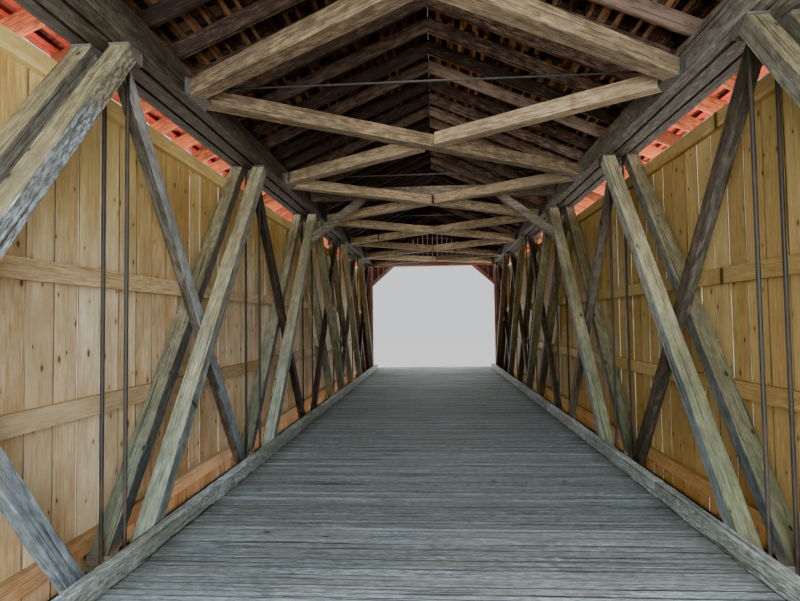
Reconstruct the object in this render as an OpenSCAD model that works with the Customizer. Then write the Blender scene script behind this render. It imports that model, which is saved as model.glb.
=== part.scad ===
// Covered timber truss bridge, 1:1, millimetres.
// X runs across the roadway, Y runs along it, Z is up and the ground is at zero.
// The near end is at negative Y and the far end is at positive Y.

/* [Overall] */
// Length of one truss panel
panel_length = 3050; // [2900:10:3200]
// Clear roadway between the two trusses
roadway_w = 4270; // [4000:10:4600]
// Clear height between the chords of a truss
clear_h = 3700; // [3500:10:4000]
// Height of the deck top above the ground
deck_level = 2000; // [1500:10:3500]

/* [Trusses] */
// Width of the inner and of the outer chord timber
side_timber_w = 110; // [100:5:140]
// Width of the middle chord timber
mid_timber_w = 145; // [130:5:180]
// Gap between two chord timbers, where the rods pass
chord_gap = 35; // [34:1:50]
// Depth of the bottom chord
bottom_chord_h = 280; // [240:5:340]
// Drop from the deck top to the top of the bottom chord
chord_drop = 150; // [120:5:200]
// Depth of the top chord
top_chord_h = 250; // [200:5:300]
// Length of chord past the last rod
chord_overhang = 350; // [320:5:500]
// Width of a main brace, across the bridge
brace_w = 150; // [140:5:160]
// Depth of a main brace
brace_d = 130; // [110:5:145]
// Distance along the chord from the rod line to the middle of a main brace foot
foot_off = 205; // [190:5:240]
// Height of the middle of a main brace foot over the bottom chord
foot_rise = 225; // [190:5:240]
// Distance along the chord from the rod line to the middle of a main brace head
head_off = 150; // [140:5:200]
// Drop of the middle of a main brace head below the top chord
head_rise = 55; // [50:5:90]
// Width of a counter brace, across the bridge
counter_w = 90; // [70:5:110]
// Depth of a counter brace
counter_d = 140; // [110:5:150]
// Distance along the chord from the rod line to the middle of a counter brace foot
counter_foot_off = 380; // [340:5:420]
// Distance along the chord from the rod line to the middle of a counter brace head
counter_head_off = 40; // [30:5:60]
// Distance from the chord to the middle of a counter brace end
counter_rise = 55; // [50:5:80]
// Distance from the rod line to the back of an angle block
block_gap = 20; // [18:1:40]
// Border of an angle block face beyond the brace on it
block_edge = 10; // [6:1:14]
// Diameter of a truss rod
rod_d = 30; // [24:1:32]
// Free space round a rod in its hole, on the diameter
rod_play = 2; // [1:0.5:4]
// Thickness of a rod plate
plate_t = 20; // [12:1:30]
// Width of a rod plate, along the bridge
plate_w = 120; // [90:5:140]

/* [Floor] */
// Width of a floor beam
floor_beam_w = 200; // [150:5:250]
// Depth of a floor beam
floor_beam_h = 330; // [280:5:380]
// Width of a stringer
stringer_w = 150; // [120:5:180]
// Number of stringers
stringer_n = 7; // [5:1:9]
// Thickness of the deck
deck_t = 75; // [50:5:90]
// Free space between deck and chord
deck_play = 5; // [2:1:15]
// Length of deck past the chord end
deck_past = 40; // [20:5:50]
// Width of a curb
curb_w = 90; // [70:5:120]
// Height of a curb
curb_h = 150; // [120:5:170]
// Width of a bed timber
bed_w = 230; // [180:5:240]

/* [Upper bracing] */
// Width of a lateral brace, in plan
lateral_w = 150; // [120:5:170]
// Height of a lateral brace
lateral_h = 150; // [120:5:160]
// Distance from a rod line to the next lateral node, along the bridge
lateral_shift = 875; // [700:5:1000]
// Distance along the chord from a lateral node to the middle of a lateral end
lateral_off = 115; // [110:5:140]
// Distance from the chord to the middle of a lateral end
lateral_rise = 70; // [65:5:100]
// Diameter of a lateral tie rod
tie_rod_d = 20; // [16:1:25]
// Width of the midspan tie beam
tie_beam_w = 150; // [120:5:180]
// Depth of the midspan tie beam
tie_beam_h = 200; // [160:5:220]
// Distance of the tie beam from midspan, toward the near end
tie_beam_shift = 500; // [480:5:520]
// Width of a knee brace
knee_w = 130; // [100:5:140]
// Depth of a knee brace
knee_d = 130; // [100:5:160]
// Reach of a knee brace across the bridge
knee_run = 1000; // [800:10:1200]
// Drop of a knee brace
knee_drop = 760; // [650:10:900]

/* [Roof] */
// Slope of the roof, in degrees
roof_pitch = 23.7; // [20:0.1:27]
// Depth of the rafter seat cut over the chord
seat_cut = 40; // [30:5:60]
// Free space between seat cut and chord face
seat_play = 3; // [1:1:10]
// Width of a rafter
rafter_w = 50; // [40:1:60]
// Depth of a rafter
rafter_d = 150; // [130:5:180]
// Number of rafter pairs over one truss panel
rafter_n = 6; // [4:1:8]
// Half width of the roof at the rafter tails
eave_x = 3050; // [2950:10:3200]
// Length of roof past the portal boards
gable_overhang = 450; // [350:10:600]
// Thickness of a roof lath
lath_t = 25; // [20:1:35]
// Width of a roof lath
lath_w = 80; // [60:5:100]
// Spacing of the roof laths, along the slope
lath_step = 150; // [130:5:180]
// Thickness of the shingle covering
shingle_t = 24; // [18:1:35]
// Length of the shingles past the lowest lath
shingle_drip = 40; // [20:5:60]
// Width of a ridge board, along the slope
ridge_w = 150; // [120:5:200]
// Thickness of a ridge board
ridge_t = 20; // [15:1:30]
// Depth of a barge board
barge_d = 190; // [175:5:230]
// Thickness of a barge board
barge_t = 25; // [20:1:35]

/* [Siding and portals] */
// Thickness of a siding girt
girt_t = 55; // [40:5:70]
// Height of a siding girt
girt_h = 140; // [110:5:160]
// Height of the middle of the lowest girt in sight over the deck
girt_base = 50; // [0:10:100]
// Height of the middle of the next girt over the deck
girt_low = 1060; // [900:10:1200]
// Height of the middle of the third girt over the deck
girt_high = 2035; // [1900:5:2200]
// Distance from the siding top down to the middle of the top girt
girt_top_drop = 90; // [80:5:150]
// Thickness of the siding boards
siding_t = 25; // [20:1:35]
// Light gap from the siding top up to the chord underside
siding_gap = 175; // [120:5:220]
// Depth of the siding below the deck top
siding_drop = 500; // [400:10:600]
// Distance from the edge of the roadway out to the side of the portal opening
portal_side = 50; // [10:5:65]
// Distance from the top chords down to the top of the portal opening
portal_drop = 30; // [10:5:200]
// Width of the clipped corner of the opening
clip_x = 780; // [500:10:900]
// Height of the clipped corner of the opening
clip_z = 700; // [500:10:900]
// Size of a portal post, both ways
post_s = 150; // [120:5:160]
// Height of a portal header over the chord underside
header_rise = 170; // [100:5:230]
// Depth of a portal corner brace
corner_d = 110; // [80:5:130]
// Thickness of the portal boards
board_t = 25; // [20:1:35]
// Joint between two boarded fields, and between two butted timbers
joint = 2; // [1:0.5:4]

/* [Abutments] */
// Half width of an abutment
abutment_x = 3050; // [2900:10:3300]
// Distance from the first rod line to the inner face of an abutment
seat_len = 600; // [550:10:620]
// Thickness of a back wall
back_t = 400; // [300:10:600]
// Free space between the portal boards and a back wall
back_play = 35; // [30:1:60]

/* [Hidden] */

panels = 6;
half = panels * panel_length / 2;
end_y = half + chord_overhang;
in_x = roadway_w / 2;
// Inner faces and widths of the three timbers of a chord, and the two rod lines
t_x = [in_x, in_x + side_timber_w + chord_gap, in_x + side_timber_w + mid_timber_w + 2 * chord_gap];
t_w = [side_timber_w, mid_timber_w, side_timber_w];
out_x = t_x[2] + side_timber_w;
rod_x = [t_x[1] - chord_gap / 2, t_x[2] - chord_gap / 2];
z_chord = deck_level - chord_drop;
z_bot = z_chord - bottom_chord_h;
z_top = deck_level + clear_h;
z_cap = z_top + top_chord_h;
z_seat = z_bot - floor_beam_h;
// Run along the bridge and rise of a main brace and of a counter, between the middles of their ends
main_run = [panel_length - foot_off - head_off, z_top - head_rise - z_chord - foot_rise];
counter_run = [panel_length - counter_foot_off - counter_head_off, z_top - z_chord - 2 * counter_rise];
counter_x = (in_x + out_x - counter_w) / 2;
// Half width and height of the portal opening
portal_x = in_x + portal_side;
portal_h = clear_h - portal_drop;
tp = tan(roof_pitch);
cp = cos(roof_pitch);
// Heights on the middle plane of the roof: rafter underside and top, lath top, shingle top
r_low = z_cap - seat_cut + out_x * tp;
r_top = r_low + rafter_d / cp;
l_top = r_top + lath_t / cp;
s_top = l_top + shingle_t / cp;
board_y = end_y + board_t;
roof_y = board_y + gable_overhang;
fly_y = roof_y - barge_t - rafter_w / 2;
gable_y = end_y - rafter_w / 2;
girt_x = out_x + girt_t;
skin_x = girt_x + siding_t;
siding_z = z_top - siding_gap;
seat_y = half - seat_len;
back_y = board_y + back_play;
lat_y = [for (k = [0:panels - 1]) -half + k * panel_length + lateral_shift, half];
rod_z = z_top + lateral_h - 35;
rafter_step = panel_length / rafter_n;
slope_l = eave_x / cp;
n_lath = floor((slope_l - lath_w) / lath_step);
tie_z = z_top + lateral_h;
knee_z = tie_z - knee_drop;

old_wood = [0.45, 0.41, 0.31];
dark_wood = [0.24, 0.19, 0.15];
red_wood = [0.42, 0.15, 0.11];
pine = [0.72, 0.53, 0.30];
iron = [0.22, 0.22, 0.23];
stone = [0.52, 0.51, 0.48];
grey_wood = [0.46, 0.45, 0.42];

// A box from its low corner to its high corner
module span(a, b) {
  translate(a) cube([b[0] - a[0], b[1] - a[1], b[2] - a[2]]);
}

// A profile drawn in Y and Z, drawn out along X from x0 to x1
module along_x(x0, x1) {
  translate([x0, 0, 0]) rotate([90, 0, 90]) linear_extrude(height = x1 - x0) children();
}

// A profile drawn in X and Z, drawn out along Y from y0 to y1
module along_y(y0, y1) {
  translate([0, y1, 0]) rotate([90, 0, 0]) linear_extrude(height = y1 - y0) children();
}

module both_sides() {
  children();
  mirror([1, 0, 0]) children();
}

module both_ends() {
  children();
  mirror([0, 1, 0]) children();
}

// Profile of an angle block with its rod line at v = 0 and a sloped face toward positive v.
// off and rise place the middle of the face, run is that of the brace on it and d the depth of the brace.
// The back of the block stands at v = back.
module seat_profile(off, rise, run, d, back) {
  s = (d / 2 + block_edge) * run[1] / norm(run);
  c = (d / 2 + block_edge) * run[0] / norm(run);
  polygon([[back, 0], [back, rise + c], [off - s, rise + c], [off + s, rise - c], [off + s, 0]]);
}

// Profile of a lateral block on a node at v = 0, with a sloped face for each lateral brace.
// off and rise place the middle of a face, a_low and a_high are the brace angles and d the brace width.
// sides tells which faces there are: -1 the low one, 1 the high one, 0 both.
module block_profile(off, rise, a_low, a_high, d, sides) {
  g = d / 2 + 20;
  lo = sides == 1 ? [[-120, 0], [-120, rise + g * cos(a_high)]]
    : [[-off - rise * tan(a_low), 0], [-off + g * sin(a_low), rise + g * cos(a_low)]];
  hi = sides == -1 ? [[120, rise + g * cos(a_low)], [120, 0]]
    : [[off - g * sin(a_high), rise + g * cos(a_high)], [off + rise * tan(a_high), 0]];
  polygon(concat(lo, hi));
}

// One brace of a truss from x0 to x1 across the bridge, with its foot at y and z, leaning toward s
module brace(x0, x1, y, z, s, run, d) {
  a = atan2(run[1], run[0]);
  translate([x0, y, z]) rotate([s > 0 ? a : 180 - a, 0, 0])
    translate([0, 0, -d / 2]) cube([x1 - x0, norm(run), d]);
}

module near_abutment() {
  color(stone) span([-abutment_x, -back_y - back_t, 0], [abutment_x, -seat_y, z_seat]);
}

module far_abutment() {
  color(stone) span([-abutment_x, seat_y, 0], [abutment_x, back_y + back_t, z_seat]);
}

module back_walls() {
  color(stone) both_ends()
    span([-abutment_x, back_y, z_seat], [abutment_x, back_y + back_t, deck_level]);
}

module bed_timbers() {
  color(dark_wood) both_ends() {
    span([-skin_x + siding_t + 5, end_y - bed_w - 10, z_seat], [skin_x - siding_t - 5, end_y - 10, z_bot]);
    span([-skin_x + siding_t + 5, seat_y + 60, z_seat], [skin_x - siding_t - 5, seat_y + 60 + bed_w, z_bot]);
  }
}

module floor_beams() {
  color(dark_wood) for (k = [0:2 * panels - 1]) {
    y = -half + (k + 0.5) * panel_length / 2;
    span([-out_x, y - floor_beam_w / 2, z_seat], [out_x, y + floor_beam_w / 2, z_bot]);
  }
}

module stringers() {
  step = (roadway_w - 2 * stringer_w - 100) / (stringer_n - 1);
  color(dark_wood) for (k = [0:stringer_n - 1]) {
    x = (k - (stringer_n - 1) / 2) * step;
    span([x - stringer_w / 2, -end_y, z_bot], [x + stringer_w / 2, end_y, deck_level - deck_t]);
  }
}

module deck() {
  color(grey_wood) span([-in_x + deck_play, -end_y - deck_past, deck_level - deck_t],
    [in_x - deck_play, end_y + deck_past, deck_level]);
}

module curbs() {
  color(grey_wood) both_sides()
    span([in_x - deck_play - curb_w, -end_y, deck_level], [in_x - deck_play, end_y, deck_level + curb_h]);
}

module bottom_chord() {
  for (i = [0:2])
    span([t_x[i], -end_y, z_bot], [t_x[i] + t_w[i], end_y, z_chord]);
}

module left_bottom_chord() {
  color(dark_wood) mirror([1, 0, 0]) bottom_chord();
}

module right_bottom_chord() {
  color(dark_wood) bottom_chord();
}

module top_chord() {
  for (i = [0:2])
    span([t_x[i], -end_y, z_top], [t_x[i] + t_w[i], end_y, z_cap]);
}

module left_top_chord() {
  color(dark_wood) mirror([1, 0, 0]) top_chord();
}

module right_top_chord() {
  color(dark_wood) top_chord();
}

// Two main braces a panel, each leaning toward midspan
module main_braces() {
  both_ends() for (k = [0:panels / 2 - 1], x = [in_x, out_x - brace_w])
    brace(x, x + brace_w, -half + k * panel_length + foot_off, z_chord + foot_rise, 1, main_run, brace_d);
}

module left_main_braces() {
  color(old_wood) mirror([1, 0, 0]) main_braces();
}

module right_main_braces() {
  color(old_wood) main_braces();
}

// One counter brace a panel, between the two main braces, leaning the other way
module counter_braces() {
  both_ends() for (k = [1:panels / 2])
    brace(counter_x, counter_x + counter_w, -half + k * panel_length - counter_foot_off,
      z_chord + counter_rise, -1, counter_run, counter_d);
}

module left_counter_braces() {
  color(dark_wood) mirror([1, 0, 0]) counter_braces();
}

module right_counter_braces() {
  color(dark_wood) counter_braces();
}

module truss_rods(side) {
  color(iron) for (k = [0:panels], x = rod_x)
    translate([side * x, -half + k * panel_length, z_bot - plate_t - 45])
      cylinder(d = rod_d, h = z_cap - z_bot + 2 * plate_t + 90, $fn = 16);
}

module left_truss_rods() {
  truss_rods(-1);
}

module right_truss_rods() {
  truss_rods(1);
}

module rod_holes(y, z0, z1) {
  for (x = rod_x)
    translate([x, y, z0]) cylinder(d = rod_d + rod_play, h = z1 - z0, $fn = 16);
}

// Seat of a counter brace end, as wide as the brace
module counter_seat(off) {
  along_x(counter_x, counter_x + counter_w)
    seat_profile(off, counter_rise, counter_run, counter_d, off - counter_d / 2 - block_edge);
}

// Each pair of main braces stands on one wide block, and each counter foot on a narrow one
module lower_angle_blocks() {
  color(dark_wood) translate([0, 0, z_chord]) both_sides() both_ends() {
    for (k = [0:panels / 2 - 1]) translate([0, -half + k * panel_length, 0])
      along_x(in_x, out_x) seat_profile(foot_off, foot_rise, main_run, brace_d, block_gap);
    for (k = [1:panels / 2]) translate([0, -half + k * panel_length, 0]) mirror([0, 1, 0])
      counter_seat(counter_foot_off);
  }
}

// Each brace head has a block of its own, so that the counter head fits between the main ones
module upper_angle_blocks() {
  color(dark_wood) translate([0, 0, z_top]) mirror([0, 0, 1]) both_sides() both_ends() {
    for (k = [1:panels / 2], x = [in_x, out_x - brace_w])
      translate([0, -half + k * panel_length, 0]) mirror([0, 1, 0])
        along_x(x, x + brace_w) seat_profile(head_off, head_rise, main_run, brace_d, block_gap);
    for (k = [0:panels / 2 - 1]) translate([0, -half + k * panel_length, 0])
      counter_seat(counter_head_off);
  }
}

module plate_row(z0) {
  both_sides() for (k = [0:panels]) difference() {
    y = -half + k * panel_length;
    span([in_x, y - plate_w / 2, z0], [out_x, y + plate_w / 2, z0 + plate_t]);
    rod_holes(y, z0 - 5, z0 + plate_t + 5);
  }
}

module lower_rod_plates() {
  color(iron) plate_row(z_bot - plate_t);
}

module upper_rod_plates() {
  color(iron) plate_row(z_cap);
}

function lat_angle(y0, y1) = atan2(roadway_w - 2 * lateral_rise, y1 - y0 - 2 * lateral_off);

// A lateral brace from the left truss at y0 to the right truss at y1, from part f0 to part f1 of its length
module lateral(y0, y1, f0, f1) {
  s = y1 > y0 ? 1 : -1;
  dx = roadway_w - 2 * lateral_rise;
  dy = y1 - y0 - s * 2 * lateral_off;
  len = norm([dx, dy]);
  translate([-in_x + lateral_rise, y0 + s * lateral_off, z_top]) rotate([0, 0, atan2(dy, dx)])
    translate([f0 * len, -lateral_w / 2, 0]) cube([(f1 - f0) * len, lateral_w, lateral_h]);
}

module lateral_pair(y0, y1) {
  lateral(y0, y1, 0, 1);
  difference() {
    union() {
      lateral(y1, y0, 0, 0.5);
      lateral(y1, y0, 0.5, 1);
    }
    // The long brace passes between the two short ones
    translate([0, (y0 + y1) / 2, z_top - 5])
      rotate([0, 0, atan2(y1 - y0 - 2 * lateral_off, roadway_w - 2 * lateral_rise)])
        translate([-in_x, -lateral_w / 2 - joint, 0]) cube([roadway_w, lateral_w + 2 * joint, lateral_h + 10]);
  }
}

module lateral_braces() {
  color(old_wood) for (k = [0:panels - 1])
    lateral_pair(lat_y[k], lat_y[k + 1]);
}

module lateral_blocks() {
  color(dark_wood) both_sides() for (k = [0:panels]) {
    a_low = k > 0 ? lat_angle(lat_y[k - 1], lat_y[k]) : 60;
    a_high = k < panels ? lat_angle(lat_y[k], lat_y[k + 1]) : 60;
    difference() {
      translate([in_x, lat_y[k], z_top]) linear_extrude(height = lateral_h) rotate([0, 0, 90])
        block_profile(lateral_off, lateral_rise, a_low, a_high, lateral_w, k == 0 ? 1 : (k == panels ? -1 : 0));
      if (k < panels) translate([in_x - 300, lat_y[k], rod_z]) rotate([0, 90, 0])
        cylinder(d = tie_rod_d + rod_play, h = 320, $fn = 16);
    }
  }
}

module lateral_tie_rods() {
  color(iron) for (k = [0:panels - 1])
    translate([-in_x, lat_y[k], rod_z]) rotate([0, 90, 0]) cylinder(d = tie_rod_d, h = roadway_w, $fn = 16);
}

module midspan_tie_beam() {
  x1 = t_x[1] + mid_timber_w;
  color(old_wood) difference() {
    span([-x1, -tie_beam_shift - tie_beam_w / 2, tie_z], [x1, -tie_beam_shift + tie_beam_w / 2, tie_z + tie_beam_h]);
    both_sides() span([in_x, -tie_beam_shift - tie_beam_w, tie_z - 5], [x1 + 5, -tie_beam_shift + tie_beam_w, z_cap]);
  }
}

module knee_braces() {
  a = atan2(knee_drop, knee_run);
  hv = knee_d / cos(a);
  hh = knee_d / sin(a);
  color(old_wood) both_sides() along_y(-tie_beam_shift - knee_w / 2, -tie_beam_shift + knee_w / 2)
    polygon([[in_x, knee_z], [in_x, knee_z + hv], [in_x - knee_run + hh, tie_z], [in_x - knee_run, tie_z]]);
}

// Rafter profile in X and Z
module rafter_profile() {
  polygon([[0, r_low], [eave_x, r_low - eave_x * tp], [eave_x, r_top - eave_x * tp], [0, r_top]]);
}

// Rafters with a seat over the chord, and a plain one at each end of the roof
module rafters() {
  both_ends() {
    for (y = concat([for (k = [0:panels * rafter_n / 2 - 1]) (k + 0.5) * rafter_step], [gable_y]))
      along_y(y - rafter_w / 2, y + rafter_w / 2) difference() {
        rafter_profile();
        translate([in_x, z_cap - 500]) square([out_x - in_x + seat_play, 500]);
      }
    along_y(fly_y - rafter_w / 2, fly_y + rafter_w / 2) rafter_profile();
  }
}

module left_rafters() {
  color(red_wood) mirror([1, 0, 0]) rafters();
}

module right_rafters() {
  color(red_wood) rafters();
}

// Laths lie on the rafters, the first at the tail and the last near the ridge
module roof_lath() {
  for (k = [0:n_lath])
    translate([eave_x, 0, r_top - eave_x * tp]) rotate([0, roof_pitch, 0])
      translate([-k * lath_step - lath_w, -roof_y + barge_t, 0]) cube([lath_w, 2 * (roof_y - barge_t), lath_t]);
}

module left_roof_lath() {
  color(red_wood) mirror([1, 0, 0]) roof_lath();
}

module right_roof_lath() {
  color(red_wood) roof_lath();
}

module shingles() {
  e = eave_x + shingle_drip;
  along_y(-roof_y - 30, roof_y + 30)
    polygon([[0, l_top], [e, l_top - e * tp], [e, s_top - e * tp], [0, s_top]]);
}

module left_shingles() {
  color(dark_wood) mirror([1, 0, 0]) shingles();
}

module right_shingles() {
  color(dark_wood) shingles();
}

module ridge_cap() {
  w = ridge_w * cp;
  h = ridge_t / cp;
  color(dark_wood) both_sides() along_y(-roof_y - 30, roof_y + 30)
    polygon([[joint / 2, s_top - joint / 2 * tp], [w, s_top - w * tp], [w, s_top - w * tp + h],
      [joint / 2, s_top - joint / 2 * tp + h]]);
}

module barge_boards() {
  v = barge_d / cp;
  color(red_wood) both_sides() both_ends() along_y(roof_y - barge_t, roof_y)
    polygon([[joint / 2, l_top - v - joint / 2 * tp], [eave_x, l_top - v - eave_x * tp],
      [eave_x, l_top - eave_x * tp], [joint / 2, l_top - joint / 2 * tp]]);
}

// The lowest girt lies along the bottom chord, and the top one under the siding top
module girts() {
  for (z = [z_chord - bottom_chord_h / 2, deck_level + girt_base, deck_level + girt_low, deck_level + girt_high,
    siding_z - girt_top_drop])
    span([out_x, -end_y, z - girt_h / 2], [girt_x, end_y, z + girt_h / 2]);
}

module left_girts() {
  color(pine) mirror([1, 0, 0]) girts();
}

module right_girts() {
  color(pine) girts();
}

module siding() {
  span([girt_x, -end_y, deck_level - siding_drop], [skin_x, end_y, siding_z]);
}

module left_siding() {
  color(pine) mirror([1, 0, 0]) siding();
}

module right_siding() {
  color(pine) siding();
}

// Boards of a portal: two side walls, two corner pieces and the gable
module portal_boards() {
  z_h = deck_level + portal_h;
  along_y(end_y, board_y)
    polygon([[-skin_x, z_h], [skin_x, z_h], [skin_x, r_top - skin_x * tp], [0, r_top], [-skin_x, r_top - skin_x * tp]]);
  both_sides() {
    span([portal_x, end_y, deck_level - siding_drop], [skin_x, board_y, z_h - joint]);
    along_y(end_y, board_y) difference() {
      polygon([[portal_x, z_h - clip_z], [portal_x, z_h], [portal_x - clip_x, z_h]]);
      translate([portal_x - clip_x, z_h - joint]) square([clip_x, joint + 1]);
      translate([portal_x - joint, z_h - clip_z]) square([joint + 1, clip_z]);
    }
  }
}

module near_portal_boards() {
  color(red_wood) mirror([0, 1, 0]) portal_boards();
}

module far_portal_boards() {
  color(red_wood) portal_boards();
}

module portal_posts() {
  color(red_wood) both_ends() both_sides()
    span([portal_x, end_y - post_s, z_chord], [portal_x + post_s, end_y, z_top]);
}

module portal_headers() {
  color(red_wood) both_ends()
    span([-in_x, end_y - post_s, deck_level + portal_h], [in_x, end_y, z_top + header_rise]);
}

module portal_corner_braces() {
  a = atan2(clip_z, clip_x);
  z_h = deck_level + portal_h;
  color(red_wood) both_ends() both_sides() along_y(end_y - post_s, end_y)
    polygon([[portal_x, z_h - clip_z], [portal_x, z_h - clip_z + corner_d / cos(a)],
      [portal_x - clip_x + corner_d / sin(a), z_h], [portal_x - clip_x, z_h]]);
}

near_abutment();
far_abutment();
back_walls();
bed_timbers();
floor_beams();
stringers();
deck();
curbs();
left_bottom_chord();
right_bottom_chord();
left_top_chord();
right_top_chord();
left_main_braces();
right_main_braces();
left_counter_braces();
right_counter_braces();
left_truss_rods();
right_truss_rods();
lower_angle_blocks();
upper_angle_blocks();
lower_rod_plates();
upper_rod_plates();
lateral_braces();
lateral_blocks();
lateral_tie_rods();
midspan_tie_beam();
knee_braces();
left_rafters();
right_rafters();
left_roof_lath();
right_roof_lath();
left_shingles();
right_shingles();
ridge_cap();
barge_boards();
left_girts();
right_girts();
left_siding();
right_siding();
near_portal_boards();
far_portal_boards();
portal_posts();
portal_headers();
portal_corner_braces();
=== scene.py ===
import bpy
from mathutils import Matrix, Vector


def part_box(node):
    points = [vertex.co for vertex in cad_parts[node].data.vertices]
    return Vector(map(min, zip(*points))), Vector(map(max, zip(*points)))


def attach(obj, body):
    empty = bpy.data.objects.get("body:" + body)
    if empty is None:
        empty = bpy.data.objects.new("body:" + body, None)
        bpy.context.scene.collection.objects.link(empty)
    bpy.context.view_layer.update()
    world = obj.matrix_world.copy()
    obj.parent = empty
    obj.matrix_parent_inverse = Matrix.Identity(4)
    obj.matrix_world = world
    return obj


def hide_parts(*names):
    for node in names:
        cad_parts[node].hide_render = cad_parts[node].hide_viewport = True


bl_info = {
    "name": "Covered Bridge",
    "version": (1, 0, 0),
    "blender": (4, 5, 0),
    "location": "View3D > Sidebar > Bridge",
    "description": "Dresses the covered timber bridge: boards, shingles, stones, ironwork and finishes",
    "category": "Object",
}

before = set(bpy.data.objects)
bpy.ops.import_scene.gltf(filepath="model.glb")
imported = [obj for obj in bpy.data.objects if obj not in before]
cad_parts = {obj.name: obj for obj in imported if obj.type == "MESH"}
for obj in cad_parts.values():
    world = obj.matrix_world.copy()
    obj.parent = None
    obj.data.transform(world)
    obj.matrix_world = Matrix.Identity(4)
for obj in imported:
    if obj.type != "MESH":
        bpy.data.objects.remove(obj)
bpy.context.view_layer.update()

import math

import bpy
import numpy as np
from mathutils import Matrix, Vector

BODY = "root"

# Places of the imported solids, in metres
DECK_LO, DECK_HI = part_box("deck")
CHORD_LO, CHORD_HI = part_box("right_bottom_chord")
CAP_LO, CAP_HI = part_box("right_top_chord")
SKIN_LO, SKIN_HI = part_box("right_siding")
SHINGLE_LO, SHINGLE_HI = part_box("right_shingles")
RAFTER_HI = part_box("right_rafters")[1]
BOARD_LO, BOARD_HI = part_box("far_portal_boards")
MAIN_LO, MAIN_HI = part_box("right_main_braces")
COUNTER_LO, COUNTER_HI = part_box("right_counter_braces")
ROD_LO, ROD_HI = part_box("right_truss_rods")
POST_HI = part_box("portal_posts")[1]
CURB_LO, CURB_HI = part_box("curbs")

# Rods, panels, roof and timbers. A foot or head is how far the middle of a brace's end lies in from
# its panel point, and how far over the bottom chord or under the top chord
ROD = 0.03
HALF = ROD_HI.y - ROD / 2
PANELS = 6
PANEL = 2 * HALF / PANELS
PITCH = math.radians(23.7)
ROD_X = (ROD_LO.x + ROD / 2, ROD_HI.x - ROD / 2)
BRACE_W, MAIN_D, COUNTER_D = 0.15, 0.13, 0.14
MAIN_FOOT, MAIN_HEAD = (0.081, 0.0606), (0.15, 0.055)
COUNTER_FOOT, COUNTER_HEAD = (0.38, 0.055), (0.04, 0.055)
LATERAL_W, LATERAL_H = 0.15, 0.15
SIDES = ((-1, "left"), (1, "right"))
X_AXIS, Y_AXIS, Z_AXIS = (1, 0, 0), (0, 1, 0), (0, 0, 1)
NODE_SHIFT = 0.875

# The camera fitted to the photograph: focal length and picture width in pixels, place, and turns in radians
FOCUS, PICTURE = 535.83, 800
CAMERA = (0.0187, -9.945, DECK_HI.z + 1.663)
PAN, TILT, ROLL = 0.0629, 0.0401, -0.0137


# Making shapes

def clear_selection():
    """Object mode, with nothing selected."""
    if bpy.context.mode != "OBJECT":
        bpy.ops.object.mode_set(mode="OBJECT")
    bpy.ops.object.select_all(action="DESELECT")


def settle(obj, name, material=None):
    """Names a finished piece, puts it on the bridge and applies its place."""
    clear_selection()
    obj.select_set(True)
    bpy.context.view_layer.objects.active = obj
    bpy.ops.object.transform_apply(location=True, rotation=True, scale=True)
    obj.name = name
    obj.data.name = name
    if material is not None and not obj.data.materials:
        obj.data.materials.append(material)
    obj.select_set(False)
    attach(obj, BODY)
    return obj


def bar(size, arris, cuts=0, segments=1):
    """A timber or board centred on the origin: a cube, sized, with worn edges and cross cuts along Y."""
    clear_selection()
    bpy.ops.mesh.primitive_cube_add(size=1.0, location=(0, 0, 0))
    obj = bpy.context.object
    obj.scale = size
    bpy.ops.object.transform_apply(scale=True)
    bpy.ops.object.mode_set(mode="EDIT")
    bpy.ops.mesh.select_all(action="SELECT")
    bpy.ops.mesh.bevel(offset=arris, segments=segments, affect="EDGES")
    for k in range(1, cuts + 1):
        bpy.ops.mesh.select_all(action="SELECT")
        y = size[1] * (k / (cuts + 1) - 0.5)
        bpy.ops.mesh.bisect(plane_co=(0, y, 0), plane_no=(0, 1, 0))
    bpy.ops.object.mode_set(mode="OBJECT")
    return obj


def points(mesh):
    """The corners of a mesh, as rows of x, y and z."""
    co = np.empty(len(mesh.vertices) * 3)
    mesh.vertices.foreach_get("co", co)
    return co.reshape(-1, 3)


def set_points(mesh, co):
    """Moves the corners of a mesh."""
    mesh.vertices.foreach_set("co", np.ascontiguousarray(co).ravel())
    mesh.update()


def mark_grain(mesh, grain, tone, across=None):
    """Stores where the wood pattern lies on each vertex, how light the piece is, and how near its edge."""
    if across is not None:
        c = mesh.attributes.new("across", "FLOAT", "POINT")
        c.data.foreach_set("value", np.ascontiguousarray(across).ravel())
    a = mesh.attributes.new("grain", "FLOAT_VECTOR", "POINT")
    a.data.foreach_set("vector", np.ascontiguousarray(grain).ravel())
    b = mesh.attributes.new("tone", "FLOAT", "POINT")
    b.data.foreach_set("value", np.ascontiguousarray(tone).ravel())


def place_new(name, data):
    """Puts a mesh, a lamp or a camera in the scene as an object of its own."""
    obj = bpy.data.objects.new(name, data)
    bpy.context.scene.collection.objects.link(obj)
    return obj


def copy_bar(src, place, rng, wear):
    """One more timber from a model, with its own mesh, its own wear and its own place."""
    mesh = src.data.copy()
    co = points(mesh)
    shift = rng.uniform(-40, 40, 3)
    mark_grain(mesh, co + shift, np.full(len(co), rng.random()))
    set_points(mesh, co + rng.normal(0, wear, co.shape))
    mesh.transform(place)
    return place_new(src.name, mesh)


def join(objs, name, material):
    """Joins copies to one piece."""
    clear_selection()
    for o in objs:
        o.select_set(True)
    bpy.context.view_layer.objects.active = objs[0]
    if len(objs) > 1:
        bpy.ops.object.join()
    return settle(bpy.context.view_layer.objects.active, name, material)


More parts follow.
